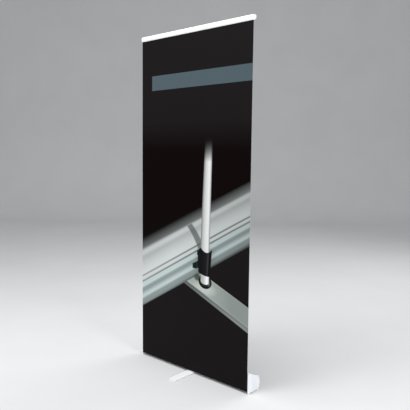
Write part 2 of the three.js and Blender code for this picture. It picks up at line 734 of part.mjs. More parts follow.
piece(
  foot,
  "foot_bar",
  cut(
    footBody,
    disc(PIVOT_RADIUS + PIVOT_CLEAR, 0, 2 * FOOT_TOP, SMALL_ROUND),
    disc(PIVOT_HEAD_R + PIVOT_CLEAR, 0, PAD_THICKNESS + PIVOT_HEAD_RECESS, SMALL_ROUND),
    disc(ringOuter + GAP, 0, 2 * FOOT_TOP).translate(0, ringY, 0),
  ),
  "silver",
);
piece(
  foot,
  "foot_hole_ring",
  sleeve(ringInner, ringOuter, PAD_THICKNESS, FOOT_TOP).translate(0, ringY, 0),
  "black_plastic",
);
[-1, 1].forEach((end) => {
  const far = end * (halfLength - PAD_MARGIN);
  const near = far - end * PAD_LENGTH;
  const halfPad = halfFoot - PAD_MARGIN;
  const outline = [
    [-halfPad, Math.min(near, far), FOOT_CORNER],
    [halfPad, Math.min(near, far), FOOT_CORNER],
    [halfPad, Math.max(near, far), FOOT_CORNER],
    [-halfPad, Math.max(near, far), FOOT_CORNER],
  ];
  const name = end < 0 ? "foot_pad_front" : "foot_pad_rear";
  piece(foot, name, alongZ(filleted(outline, true), 0, PAD_THICKNESS), "rubber");
});

// ---- foot pivot ----

const nutBase = HOUSING_CLEAR_OF_FLOOR + HOUSING_WALL;
const boltHeadBase = PAD_THICKNESS + GAP;
piece(
  cassette,
  "foot_pivot_bolt",
  turned(
    [
      [0, boltHeadBase],
      [PIVOT_HEAD_R, boltHeadBase],
      [PIVOT_HEAD_R, boltHeadBase + PIVOT_HEAD_HEIGHT],
      [PIVOT_RADIUS, boltHeadBase + PIVOT_HEAD_HEIGHT],
      [PIVOT_RADIUS, nutBase + NUT_HEIGHT + HOUSING_WALL],
      [0, nutBase + NUT_HEIGHT + HOUSING_WALL],
    ],
    SMALL_ROUND,
  ),
  "steel",
);
piece(
  cassette,
  "foot_pivot_washer",
  sleeve(
    PIVOT_RADIUS + GAP,
    WASHER_RADIUS,
    FOOT_TOP + WASHER_PLAY,
    HOUSING_CLEAR_OF_FLOOR - WASHER_PLAY,
    SMALL_ROUND,
  ),
  "nylon",
);
piece(
  cassette,
  "foot_pivot_nut",
  alongZ(circle(NUT_FLAT_R / Math.cos(Math.PI / 6), 6), nutBase, nutBase + NUT_HEIGHT, [
    circle(PIVOT_RADIUS + GAP, SMALL_ROUND).reverse(),
  ]),
  "steel",
);

// ---- pole clamp, its screws and thumb knob ----

const plateOutline = filleted(
  [
    [-PAD_PLATE_HALF_WIDTH, -PAD_PLATE_HALF_HEIGHT, FOOT_CORNER],
    [PAD_PLATE_HALF_WIDTH, -PAD_PLATE_HALF_HEIGHT, FOOT_CORNER],
    [PAD_PLATE_HALF_WIDTH, PAD_PLATE_HALF_HEIGHT, FOOT_CORNER],
    [-PAD_PLATE_HALF_WIDTH, PAD_PLATE_HALF_HEIGHT, FOOT_CORNER],
  ],
  true,
);
const plateTop = GAP + PAD_PLATE_THICKNESS;
const poleAxisY = (z) => POLE_FOOT.y - (z - POLE_FOOT.z) * Math.tan(POLE_LEAN);
const webLow = PAD_PLATE_HEIGHT - PAD_PLATE_HALF_HEIGHT + GAP;
const webHigh = PAD_PLATE_HEIGHT + PAD_PLATE_HALF_HEIGHT - GAP;
const webOutline = [
  [rearWallY(webLow) + GAP, webLow],
  [poleAxisY(webLow), webLow],
  [poleAxisY(webHigh), webHigh],
  [rearWallY(webHigh) + GAP, webHigh],
];
const bossEndX = -(CLAMP_R + KNOB_BOSS_LENGTH);
const knobBoss = rodX(KNOB_SHANK_R + GAP + KNOB_BOSS_WALL, bossEndX, -CLAMP_R + CLAMP_WALL, 0, KNOB_HEIGHT);
const clampBody = join(
  sleeve(POLE_LOWER_R, CLAMP_R, CLAMP_BOTTOM, CLAMP_TOP).applyMatrix4(onPole),
  knobBoss.applyMatrix4(onPole),
  onSeat(alongZ(plateOutline, GAP, plateTop)),
  alongX(webOutline, -WEB_HALF_WIDTH, WEB_HALF_WIDTH),
);
piece(
  cassette,
  "pole_clamp",
  cut(
    clampBody,
    disc(POLE_LOWER_R + GAP, 0, CLAMP_TOP + CLAMP_BOTTOM).applyMatrix4(onPole),
    rodX(KNOB_SHANK_R + GAP, bossEndX - 1, 0, 0, KNOB_HEIGHT, SMALL_ROUND).applyMatrix4(onPole),
    screwTool(-clampScrewX),
    screwTool(clampScrewX),
  ),
  "black_plastic",
);
ENDS.forEach(({ side, label }) => {
  const headBase = plateTop;
  const screw = turned(
    [
      [0, headBase - CLAMP_SCREW_LENGTH],
      [CLAMP_SCREW_R, headBase - CLAMP_SCREW_LENGTH],
      [CLAMP_SCREW_R, headBase],
      [CLAMP_SCREW_HEAD_R, headBase],
      [CLAMP_SCREW_HEAD_R, headBase + CLAMP_SCREW_HEAD_HEIGHT / 2],
      [CLAMP_SCREW_HEAD_R / 2, headBase + CLAMP_SCREW_HEAD_HEIGHT],
      [0, headBase + CLAMP_SCREW_HEAD_HEIGHT],
    ],
    SMALL_ROUND,
  );
  piece(cassette, `clamp_screw_${label}`, onSeat(screw, side * clampScrewX), "steel");
});

const knobOutline = Array.from({ length: KNOB_LOBES * LOBE_STEPS }, (_, i) => {
  const a = (2 * Math.PI * i) / (KNOB_LOBES * LOBE_STEPS);
  const r = KNOB_RADIUS - KNOB_FLUTE + KNOB_FLUTE * Math.cos(KNOB_LOBES * a);
  return [r * Math.cos(a), KNOB_HEIGHT + r * Math.sin(a)];
});
const knobBaseX = bossEndX - GAP;
piece(
  pole,
  "clamp_knob",
  join(
    alongX(knobOutline, knobBaseX - KNOB_LENGTH, knobBaseX),
    rodX(KNOB_SHANK_R, knobBaseX - GAP, -POLE_LOWER_R - GAP, 0, KNOB_HEIGHT, SMALL_ROUND),
  ),
  "black_plastic",
);

// ---- telescopic pole ----

const tube = (radius, from, to) => sleeve(radius - TUBE_WALL, radius, from, to);
piece(pole, "pole_lower_tube", tube(POLE_LOWER_R, LOWER_START, LOWER_END), "silver");
piece(pole, "pole_middle_tube", tube(POLE_MIDDLE_R, MIDDLE_START, MIDDLE_END), "silver");
piece(pole, "pole_upper_tube", tube(POLE_UPPER_R, UPPER_START, TUBES_TOP), "silver");

// A plug in a tube's lower end: a head below the tube, a body inside it.
function endPlug(headR, tubeR, tubeStart) {
  const bodyR = tubeR - TUBE_WALL - GAP;
  const headBase = tubeStart - GAP - PLUG_HEAD;
  return turned([
    [0, headBase],
    [headR - GAP, headBase],
    [headR, headBase + GAP],
    [headR, tubeStart - GAP],
    [bodyR, tubeStart - GAP],
    [bodyR, tubeStart + PLUG_DEPTH],
    [0, tubeStart + PLUG_DEPTH],
  ]);
}
piece(pole, "pole_lower_plug", endPlug(POLE_LOWER_R, POLE_LOWER_R, LOWER_START), "black_plastic");
piece(pole, "middle_tube_expander", endPlug(POLE_MIDDLE_R, POLE_MIDDLE_R, MIDDLE_START), "black_plastic");
piece(pole, "upper_tube_expander", endPlug(POLE_UPPER_R, POLE_UPPER_R, UPPER_START), "black_plastic");

// A twist lock over the joint of two tubes.
function twistLock(outerTubeR, innerTubeR, seam) {
  const outer = outerTubeR + LOCK_WALL;
  return turned([
    [outerTubeR + GAP, seam - LOCK_GRIP],
    [outer, seam - LOCK_GRIP],
    [outer, seam + LOCK_REACH - LOCK_WALL],
    [outer - LOCK_WALL, seam + LOCK_REACH],
    [innerTubeR + GAP, seam + LOCK_REACH],
    [innerTubeR + GAP, seam + GAP],
    [outerTubeR + GAP, seam + GAP],
    [outerTubeR + GAP, seam - LOCK_GRIP],
  ]);
}
piece(pole, "twist_lock_lower", twistLock(POLE_LOWER_R, POLE_MIDDLE_R, LOWER_END), "black_plastic");
piece(pole, "twist_lock_upper", twistLock(POLE_MIDDLE_R, POLE_UPPER_R, MIDDLE_END), "black_plastic");

const tipBodyR = POLE_UPPER_R - TUBE_WALL - GAP;
piece(
  pole,
  "pole_tip",
  turned([
    [0, TUBES_TOP - TIP_PLUG],
    [tipBodyR, TUBES_TOP - TIP_PLUG],
    [tipBodyR, TUBES_TOP + GAP],
    [POLE_UPPER_R, TUBES_TOP + GAP],
    [POLE_UPPER_R, TUBES_TOP + TIP_COLLAR],
    [TONGUE_R, TUBES_TOP + TIP_COLLAR + POLE_UPPER_R - TONGUE_R],
    [TONGUE_R, POLE_LENGTH],
    [0, POLE_LENGTH],
  ]),
  "black_plastic",
);

// ---- top rail, heights measured down from its top ----

const outerRearY = GROOVE_REAR_Y + RAIL_WALL;
const seamY = RAIL_BACK_Y + RAIL_WALL + GAP;
const frontBulgeY = RAIL_FRONT_Y - RAIL_FRONT_BULGE;
const bellyZ = RAIL_BELLY_HEIGHT - RAIL_HEIGHT;
const lowerEdgeY = RAIL_FRONT_Y - RAIL_FRONT_BULGE / 2;
const upperEdgeY = RAIL_FRONT_Y - RAIL_FRONT_BULGE / 4;
const rearEdgeY = outerRearY - RAIL_ROUNDING / 2;
const frontFace = [
  [lowerEdgeY, -RAIL_HEIGHT, RAIL_EDGE_ROUNDING],
  [frontBulgeY, bellyZ, RAIL_BELLY_ROUNDING],
  [frontBulgeY, -RAIL_ROUNDING, RAIL_ROUNDING],
  [upperEdgeY, 0, RAIL_TOP_ROUNDING],
];
const rearFace = [
  [rearEdgeY, 0, RAIL_REAR_ROUNDING],
  [outerRearY, -RAIL_ROUNDING, RAIL_TOP_ROUNDING],
];
const frontOuter = filleted([[RAIL_FRONT_Y, -RAIL_HEIGHT], ...frontFace, [seamY - GAP, 0]], false);
const frontInner = [
  [seamY - GAP, -RAIL_WALL],
  [upperEdgeY + GAP, -RAIL_WALL],
  [frontBulgeY + RAIL_WALL, -RAIL_ROUNDING - GAP],
  [frontBulgeY + RAIL_WALL, bellyZ + GAP],
  [lowerEdgeY + GAP, -RAIL_HEIGHT + RAIL_WALL],
  [RAIL_FRONT_Y, -RAIL_HEIGHT + RAIL_WALL],
];
piece(
  rail,
  "top_rail_front",
  alongX([...frontOuter, ...frontInner].reverse(), -halfGraphic, halfGraphic),
  "rail_silver",
);

const backOuter = filleted(
  [
    [seamY, -RAIL_WALL, 0],
    [seamY, 0, 0],
    ...rearFace,
    [outerRearY, -RAIL_REAR_LIP, 0],
    [GROOVE_REAR_Y, -RAIL_REAR_LIP, 0],
    [GROOVE_REAR_Y, -RAIL_GROOVE_CEILING, 0],
    [GROOVE_FRONT_Y, -RAIL_GROOVE_CEILING, 0],
    [GROOVE_FRONT_Y, -RAIL_REAR_LIP, 0],
    [GROOVE_FRONT_Y - RAIL_WALL, -RAIL_REAR_LIP, 0],
    [GROOVE_FRONT_Y - RAIL_WALL, -RAIL_GROOVE_CEILING, 0],
    [RAIL_BACK_Y + RAIL_WALL, -RAIL_GROOVE_CEILING, 0],
    [RAIL_BACK_Y + RAIL_WALL, -RAIL_HEIGHT + GAP, 0],
    [RAIL_BACK_Y, -RAIL_HEIGHT + GAP, 0],
    [RAIL_BACK_Y, -RAIL_GROOVE_CEILING + RAIL_WALL, 0],
    [GROOVE_REAR_Y, -RAIL_GROOVE_CEILING + RAIL_WALL, 0],
    [GROOVE_REAR_Y, -RAIL_ROUNDING - GAP, 0],
    [rearEdgeY - GAP, -RAIL_WALL, 0],
  ],
  false,
);
piece(
  rail,
  "top_rail_back",
  alongX([...backOuter].reverse(), -halfGraphic, halfGraphic),
  "rail_silver",
);

const railCapOutline = filleted(
  [
    ...frontFace,
    ...rearFace,
    [outerRearY, -RAIL_REAR_LIP, RAIL_TOP_ROUNDING],
    [RAIL_BACK_Y + RAIL_WALL, -RAIL_HEIGHT, RAIL_TOP_ROUNDING],
  ],
  true,
).reverse();
ENDS.forEach(({ side, label }) => {
  const inner = side * halfGraphic;
  const plate = alongX(railCapOutline, inner, side * (halfGraphic + RAIL_CAP_THICKNESS));
  const spigot = alongX(
    [
      [RAIL_BACK_Y + RAIL_WALL + 2 * GAP, -RAIL_GROOVE_CEILING + RAIL_WALL + GAP],
      [GROOVE_REAR_Y - GAP, -RAIL_GROOVE_CEILING + RAIL_WALL + GAP],
      [GROOVE_REAR_Y - GAP, -RAIL_ROUNDING - 2 * GAP],
      [rearEdgeY - 3 * GAP, -RAIL_WALL - 2 * GAP],
      [RAIL_BACK_Y + RAIL_WALL + 2 * GAP, -RAIL_WALL - 2 * GAP],
    ],
    side * (halfGraphic - RAIL_CAP_SPIGOT),
    inner + side,
  );
  piece(rail, `rail_end_cap_${label}`, join(plate, spigot), "white_plastic");
});

export default stand;
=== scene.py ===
import json
import math

import bmesh
import bpy
import numpy as np
from mathutils import Matrix, Vector

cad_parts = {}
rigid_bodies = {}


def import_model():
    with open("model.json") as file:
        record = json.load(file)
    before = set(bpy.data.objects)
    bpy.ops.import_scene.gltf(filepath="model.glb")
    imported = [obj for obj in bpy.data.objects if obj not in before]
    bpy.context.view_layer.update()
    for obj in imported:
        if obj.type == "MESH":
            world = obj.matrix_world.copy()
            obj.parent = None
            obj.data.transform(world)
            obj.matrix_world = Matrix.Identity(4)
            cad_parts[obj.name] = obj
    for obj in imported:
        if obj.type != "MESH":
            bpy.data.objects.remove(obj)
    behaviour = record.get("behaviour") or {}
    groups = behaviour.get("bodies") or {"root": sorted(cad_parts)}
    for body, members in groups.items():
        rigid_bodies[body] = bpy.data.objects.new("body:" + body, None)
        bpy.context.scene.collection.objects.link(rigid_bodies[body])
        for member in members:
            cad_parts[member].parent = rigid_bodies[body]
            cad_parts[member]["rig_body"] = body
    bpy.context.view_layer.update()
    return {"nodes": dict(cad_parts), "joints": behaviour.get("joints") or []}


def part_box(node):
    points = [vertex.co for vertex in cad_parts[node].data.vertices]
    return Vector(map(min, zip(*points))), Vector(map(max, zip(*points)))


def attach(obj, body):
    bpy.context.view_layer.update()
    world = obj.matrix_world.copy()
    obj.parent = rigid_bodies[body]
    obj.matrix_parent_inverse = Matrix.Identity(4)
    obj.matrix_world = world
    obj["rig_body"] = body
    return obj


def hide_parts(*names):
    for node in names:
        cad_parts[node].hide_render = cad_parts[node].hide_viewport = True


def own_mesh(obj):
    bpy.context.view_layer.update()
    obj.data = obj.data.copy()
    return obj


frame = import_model()
SCENE = bpy.context.scene
MM = 0.001

# The leaning pole's axis is the one its lower twist lock turns on
TWIST = next(j for j in frame["joints"] if j["name"] == "lower_lock_twist")
POLE_POINT = Vector(TWIST["pos_m"])
POLE_AXIS = Vector(TWIST["axis"]).normalized()
POLE_LEAN = Vector((0, 0, 1)).rotation_difference(POLE_AXIS).to_euler()

# ---------------------------------------------------------------- camera
# Seen from the front right, a little above the middle of the stand.
CAMERA_AT = Vector((2.094, -2.257, 1.285))
CAMERA_YAW, CAMERA_PITCH, CAMERA_ROLL = (math.radians(a) for a in (42.10, 5.34, 0.58))
CAMERA_LENS = 46.44


def make_camera():
    ahead = Vector((
        -math.sin(CAMERA_YAW) * math.cos(CAMERA_PITCH),
        math.cos(CAMERA_YAW) * math.cos(CAMERA_PITCH),
        -math.sin(CAMERA_PITCH),
    ))
    right = ahead.cross(Vector((0, 0, 1))).normalized()
    up = right.cross(ahead)
    c, s = math.cos(CAMERA_ROLL), math.sin(CAMERA_ROLL)
    right, up = right * c + up * s, up * c - right * s
    data = bpy.data.cameras.new("camera")
    data.lens = CAMERA_LENS
    data.sensor_width = 36
    camera = bpy.data.objects.new("camera", data)
    camera.matrix_world = Matrix.Translation(CAMERA_AT) @ Matrix((right, up, -ahead)).transposed().to_4x4()
    SCENE.collection.objects.link(camera)
    SCENE.camera = camera


make_camera()


# ---------------------------------------------------------------- node building
def linear(value):
    """A display value from 0 to 255 as linear light."""
    v = value / 255
    return v / 12.92 if v <= 0.04045 else ((v + 0.055) / 1.055) ** 2.4


def tone(r, g=None, b=None):
    g = r if g is None else g
    b = r if b is None else b
    return (linear(r), linear(g), linear(b), 1.0)


class Wire:
    """A node socket that can be added, multiplied and clamped like a number."""

    def __init__(self, tree, socket):
        self.tree = tree
        self.socket = socket

    def _math(self, operation, *others, clamp=False):
        node = self.tree.nodes.new("ShaderNodeMath")
        node.operation = operation
        node.use_clamp = clamp
        for i, value in enumerate((self, *others)):
            if isinstance(value, Wire):
                self.tree.links.new(value.socket, node.inputs[i])
            else:
                node.inputs[i].default_value = value
        return Wire(self.tree, node.outputs[0])

    def __add__(self, o):
        return self._math("ADD", o)

    def __sub__(self, o):
        return self._math("SUBTRACT", o)

    def __rsub__(self, o):
        return (self * -1.0) + o

    def __mul__(self, o):
        return self._math("MULTIPLY", o)

    def __truediv__(self, o):
        return self._math("DIVIDE", o)

    __radd__ = __add__
    __rmul__ = __mul__

    def least(self, o):
        return self._math("MINIMUM", o)

    def most(self, o):
        return self._math("MAXIMUM", o)

    def root(self):
        return self._math("SQRT")

    def size(self):
        return self._math("ABSOLUTE")

    def edge(self, soft=1.4):
        """1 where this distance is positive, 0 where it is negative."""
        return self._math("MULTIPLY_ADD", 1.0 / soft, 0.5, clamp=True)


class Look:
    """A material's node tree with the few building blocks used here."""

    def __init__(self, name):
        self.material = bpy.data.materials.new(name)
        self.material.use_nodes = True
        self.tree = self.material.node_tree
        self.shader = self.tree.nodes["Principled BSDF"]

    def new(self, kind, **settings):
        node = self.tree.nodes.new(kind)
        for key, value in settings.items():
            setattr(node, key, value)
        return node

    def link(self, a, b):
        self.tree.links.new(a.socket if isinstance(a, Wire) else a, b)

    def place(self, scale=(1, 1, 1), lean=(0, 0, 0)):
        """Object coordinates turned upright out of a lean, then scaled."""
        mapping = self.new("ShaderNodeMapping", vector_type="TEXTURE")
        mapping.inputs["Rotation"].default_value = lean
        mapping.inputs["Scale"].default_value = [1 / s for s in scale]
        self.link(self.new("ShaderNodeTexCoord").outputs["Object"], mapping.inputs["Vector"])
        return mapping.outputs["Vector"]

    def noise(self, vector, scale, detail=3.0, roughness=0.5):
        node = self.new("ShaderNodeTexNoise")
        node.inputs["Scale"].default_value = scale
        node.inputs["Detail"].default_value = detail
        node.inputs["Roughness"].default_value = roughness
        self.link(vector, node.inputs["Vector"])
        return Wire(self.tree, node.outputs["Fac"])

    def spread(self, wire, low, high, at=(0.3, 0.7)):
        node = self.new("ShaderNodeMapRange")
        self.link(wire, node.inputs["Value"])
        for key, value in zip(("From Min", "From Max", "To Min", "To Max"), (*at, low, high)):
            node.inputs[key].default_value = value
        return Wire(self.tree, node.outputs["Result"])

    def mix(self, fac, a, b, kind="MIX"):
        node = self.new("ShaderNodeMix", data_type="RGBA", blend_type=kind)
        for value, key in ((fac, 0), (a, 6), (b, 7)):
            if isinstance(value, (tuple, float)):
                node.inputs[key].default_value = value
            else:
                self.link(value, node.inputs[key])
        return Wire(self.tree, node.outputs[2])

    def bump(self, wire, strength, distance):
        node = self.new("ShaderNodeBump")
        node.inputs["Strength"].default_value = strength
        node.inputs["Distance"].default_value = distance
        self.link(wire, node.inputs["Height"])
        self.link(node.outputs["Normal"], self.shader.inputs["Normal"])

    def ramp(self, wire, stops):
        node = self.new("ShaderNodeValToRGB")
        marks = node.color_ramp.elements
        while len(marks) < len(stops):
            marks.new(0.5)
        for mark, (position, colour) in zip(marks, stops):
            mark.position = position
        for mark, (position, colour) in zip(marks, stops):
            mark.color = colour
        self.link(wire, node.inputs["Fac"])
        return Wire(self.tree, node.outputs["Color"])

    def set(self, **values):
        for key, value in values.items():
            self.shader.inputs[key.replace("_", " ")].default_value = value


# ---------------------------------------------------------------- materials
DRAW_LINE_STRETCH = 0.012  # a draw line's width against its length
CLOUD_SCALE = 7.0
MARK_SCALE = 55.0
MARK_TINT = 0.8


def metal(name, colour, along, rough, wear=0.05, grain=900, metallic=1.0, relief=0.10, lean=(0, 0, 0)):
    """Extruded or drawn aluminium or steel, with its draw lines running along one axis."""
    p = Look(name)
    stretch = [1.0, 1.0, 1.0]
    stretch["XYZ".index(along)] = DRAW_LINE_STRETCH
    lines = p.noise(p.place(stretch, lean), grain, 4.0, 0.6)
    cloud = p.noise(p.place(), CLOUD_SCALE, 4.0)
    marks = p.spread(p.noise(p.place(), MARK_SCALE, 6.0, 0.7), 0.0, 1.0, (0.60, 0.74))
    shade = p.spread(lines * 0.5 + cloud * 0.5, 0.94, 1.04)
    toned = p.mix(1.0, colour, shade.socket, "MULTIPLY")
    worn = p.mix(marks * wear * 4.0, toned, tuple(c * MARK_TINT for c in colour[:3]) + (1.0,))
    p.link(worn, p.shader.inputs["Base Color"])
    rough_map = p.spread(lines, rough - 0.05, rough + 0.07) + p.spread(cloud, -0.03, 0.03) + marks * wear
    p.link(rough_map, p.shader.inputs["Roughness"])
    p.set(Metallic=metallic)
    p.bump(lines, relief, 0.00006)
    return p.material


def plastic(name, colour, rough, grain=1500, depth=0.00006, dust=(0.5, 0.49, 0.47, 1.0), dusty=0.04):
    """Moulded plastic or rubber with spark-eroded grain, faint flow marks and a little dust."""
    p = Look(name)
    fine = p.noise(p.place(), grain, 2.0, 0.6)
    flow = p.noise(p.place((1.0, 1.0, 0.4)), 16.0, 4.0, 0.55)
    specks = p.spread(p.noise(p.place(), 130.0, 6.0, 0.75), 0.0, 1.0, (0.56, 0.72))
    toned = p.mix(1.0, colour, p.spread(flow, 0.93, 1.05), "MULTIPLY")
    dusted = p.mix(specks * dusty, toned, dust)
    p.link(dusted, p.shader.inputs["Base Color"])
    p.link(p.spread(fine * 0.5 + flow * 0.5, rough - 0.06, rough + 0.08), p.shader.inputs["Roughness"])
    p.bump(fine, 0.25, depth)
    return p.material


ALUMINIUM = metal("extruded_aluminium", (0.66, 0.70, 0.69, 1), "X", 0.34, metallic=0.55)
FOOT_METAL = metal("foot_aluminium", (0.92, 0.95, 0.94, 1), "Y", 0.45, metallic=0.1)
TUBE_METAL = metal("tube_aluminium", (0.72, 0.745, 0.74, 1), "Z", 0.30, grain=2400, metallic=0.65,
                   relief=0.02, lean=POLE_LEAN)
RAIL_METAL = metal("rail_aluminium", (0.88, 0.91, 0.90, 1), "X", 0.38, metallic=0.2)
STEEL = metal("zinc_steel", (0.50, 0.51, 0.53, 1), "Z", 0.32, wear=0.09, grain=500)
WHITE = plastic("white_plastic", (0.84, 0.86, 0.89, 1), 0.36, depth=0.00002, dusty=0.03)
BLACK = plastic("black_plastic", (0.012, 0.012, 0.014, 1), 0.42)
NYLON = plastic("nylon", (0.60, 0.60, 0.57, 1), 0.45)
RUBBER = plastic("rubber", (0.02, 0.02, 0.021, 1), 0.75, grain=700, depth=0.00012, dusty=0.12)


# ---------------------------------------------------------------- the print
# The picture shows the back of such a stand, close up: cassette, pole, clamp and foot.
# It is laid out in millimetres on the film: x across from the middle, z up from the floor.
# A mask is a distance in millimetres, softened into 0 to 1 by edge().
BLACK_INK = tone(29, 25, 26)
DEEP_INK = tone(12, 3, 3)
INK_STRENGTH = (0.68, 0.72)  # grain of the ink's own colour, under the studio's lights
DOT_SCALE = 1300.0
FILM_SHINE = 0.03

# Straight edges as x, z of both ends
CASSETTE_TOP = (-413, 775, 406, 1148)
CASSETTE_LOW = (-413, 331, 406, 800)
FOOT_FAR = (145, 590, 423, 479)
FOOT_NEAR = (-6, 540, 426, 367)
FOOT_UNDER = (-50, 532, 427, 338)

# Lightness across the extrusion, from its top lip (0) to its underside (1)
CASSETTE_BANDS = [
    (0.000, 10), (0.030, 50), (0.060, 76), (0.100, 97), (0.145, 116), (0.165, 130), (0.190, 168),
    (0.220, 176), (0.255, 168), (0.275, 156), (0.305, 158), (0.360, 170), (0.440, 182), (0.530, 189),
    (0.600, 186), (0.680, 182), (0.705, 186), (0.725, 150), (0.745, 134), (0.775, 136), (0.800, 158),
    (0.840, 184), (0.862, 180), (0.885, 142), (0.905, 132), (0.945, 132), (0.975, 108), (1.000, 76),
]
# Lightness across the round pole, from its left side (0) to its right side (1)
TUBE_SHADES = [
    (0.0, 126), (0.10, 172), (0.24, 212), (0.42, 234), (0.62, 248), (0.78, 255), (0.90, 212), (1.0, 134),
]
STUB_SHADES = [
    (0.0, 150), (0.12, 200), (0.35, 214), (0.55, 244), (0.75, 275), (0.90, 250), (1.0, 160),
]
COLLAR_SHADES = [
    (0.0, tone(34, 38, 38)), (0.14, tone(20, 21, 22)), (0.42, tone(27, 26, 32)), (0.60, tone(33, 33, 34)),
    (0.70, tone(44, 44, 48)), (0.74, tone(70, 70, 76)), (0.79, tone(50, 50, 54)), (0.84, tone(24, 18, 20)),
    (1.0, tone(26, 26, 26)),
]


def between(low, high, soft=1.4):
    """1 where both distances are positive."""
    return low.edge(soft) * high.edge(soft)


def squared(wire):
    return wire * wire


class Print(Look):
    """The printed side of the film, painted layer over layer."""

    def __init__(self, name):
        super().__init__(name)
        layout = self.new("ShaderNodeUVMap", uv_map="print")
        split = self.new("ShaderNodeSeparateXYZ")
        self.link(layout.outputs["UV"], split.inputs["Vector"])
        self.x = Wire(self.tree, split.outputs["X"]) / MM
        self.z = Wire(self.tree, split.outputs["Y"]) / MM
        self.colour = BLACK_INK

    def cover(self, mask, colour):
        self.colour = self.mix(mask, self.colour, colour)

    def line(self, x0, z0, x1, z1):
        """Height of the line through two points at every x."""
        rise = (z1 - z0) / (x1 - x0)
        return self.x * rise + (z0 - rise * x0)

    def box(self, left, right, low, high, soft=2.0, soft_z=3.0):
        return between(self.x - left, right - self.x, soft) * between(self.z - low, high - self.z, soft_z)

    def ellipse(self, cx, cz, rx, rz, soft):
        inside = 1.0 - (squared((self.x - cx) / rx) + squared((self.z - cz) / rz)).root()
        return (inside * min(rx, rz)).edge(soft)

    def arch(self, middle, half_width, height, rise):
        """Height of a shallow curve, lowest at its middle."""
        return height + squared((self.x - middle) / half_width) * rise

    def round_shade(self, left, right, shades):
        """Colour across an upright round piece, and the mask of its width."""
        across = (self.x - left) / (right - left)
        skin = self.ramp(across, [(t, tone(v, v * 1.01, v)) for t, v in shades])
        return skin, between(self.x - left, right - self.x, 2.5)


def paint_ground(p):
    """Black ground, deeper below the heading, and the heading's blank slate bar."""
    deep_below, blend = 1400.0, 160.0
    bar_left, bar_low, bar_high = -337.0, 1671.5, 1758.5
    p.cover((deep_below - p.z).edge(blend), DEEP_INK)
    p.cover(between(p.z - bar_low, bar_high - p.z) * (p.x - bar_left).edge(), tone(86, 101, 108))


def paint_foot(p, cassette_low):
    """Flat foot that runs off to the lower right: near side, top, and the bright lips of its edges."""
    x, z = p.x, p.z
    p.cover((cassette_low - z).edge(14.0), BLACK_INK)
    far_edge, near_edge, under_edge = p.line(*FOOT_FAR), p.line(*FOOT_NEAR), p.line(*FOOT_UNDER)
    begins = (x + 56.0).edge(6.0)
    top = p.mix(p.spread(x, 0.0, 1.0, (120.0, 300.0)), tone(180, 190, 181), tone(156, 164, 161))
    top = p.mix(p.ellipse(98, 524, 75, 34, 30.0) * 0.75, top, tone(224, 228, 221))
    away = p.spread(x, 0.0, 1.0, (-30.0, 330.0))
    side = p.mix(away, tone(112, 118, 116), tone(150, 156, 154))
    shade_line = between(near_edge - 3.0 - z, z - near_edge + 11.0, 4.0)
    side = p.mix(shade_line * 0.45, side, tone(92, 98, 96))
    p.cover(between(near_edge - z, z - under_edge, 4.0) * begins, side)
    p.cover(between(far_edge - z, z - near_edge) * begins, top)
    near_lip = between(near_edge + 6.0 - z, z - near_edge + 1.0, 2.5)
    p.cover(near_lip * begins * 0.8, p.mix(away, tone(206, 214, 206), tone(172, 180, 176)))
    far_lip = between(far_edge - 1.0 - z, z - far_edge + 5.0, 3.0)
    p.cover(far_lip * begins * 0.35, tone(192, 200, 194))


def band_tone(share, value):
    """Aluminium's colour: neutral on the sloping face, cooler below the grooves."""
    red = 0.975 if share < 0.65 else 0.93
    return tone(value * red, value, value * 0.99)


def paint_cassette(p, cassette_top, cassette_low):
    """Extruded cassette with its two fine grooves, lit from the left, and the shadows that fall on it."""
    x, z = p.x, p.z
    left_end, right_end = -420.0, 420.0
    across = (cassette_top - z) / (cassette_top - cassette_low)
    body = p.ramp(across - p.spread(x, 0.020, -0.016, (left_end, right_end)), [
        (t, band_tone(t, v)) for t, v in CASSETTE_BANDS
    ])
    below_lip = (across - 0.17).edge(0.03)
    light = p.spread(x, 1.70, 1.18, (-150.0, right_end))
    body = p.mix(below_lip, body, p.mix(1.0, body, light, "MULTIPLY"))
    groove_half_width, groove_soft = 0.013, 0.02
    for place, at_left, at_right, faint in ((0.552, 0.016, -0.012, 0.62), (0.622, 0.026, -0.004, 0.72)):
        offset = across - p.spread(x, at_left, at_right, (left_end, 300.0)) - place
        groove = (groove_half_width - offset.size()).edge(groove_soft)
        body = p.mix(groove * p.spread(x, faint, 0.95, (left_end, 100.0)), body, tone(100, 110, 108))

    # The pole's shadow curves down the slope to the clamp
    drop = z - 772.0
    middle = 72.0 - drop * 0.56 - squared(drop) * 0.0019
    shadow = (27.0 - (x - middle).size()).edge(12.0)
    on_slope = (across - 0.18).edge(0.02) * (z - 730.0).edge(20.0)
    body = p.mix(shadow * on_slope * 0.80, body, tone(92, 100, 100))
    beside_clamp = (26.0 - ((x - 108.0).size() - 46.0).most(0.0)).edge(40.0)
    body = p.mix(beside_clamp * between(z - 560.0, 765.0 - z, 30.0) * 0.22, body, tone(60, 66, 66))
    p.cover(between(cassette_top - z, z - cassette_low, 5.0), body)


def paint_hole(p):
    """Black-ringed hole in the foot, with a dull reflection at each side."""
    p.cover(p.ellipse(56, 584, 30, 19, 14.0) * 0.9, tone(66, 76, 55))
    p.cover(p.ellipse(111, 566, 50, 39, 3.0), tone(26, 27, 25))
    p.cover(p.ellipse(111, 571, 39, 29, 3.0), tone(52, 60, 50))
    p.cover(p.ellipse(140, 560, 9, 16, 6.0) * 0.5, tone(128, 132, 126))


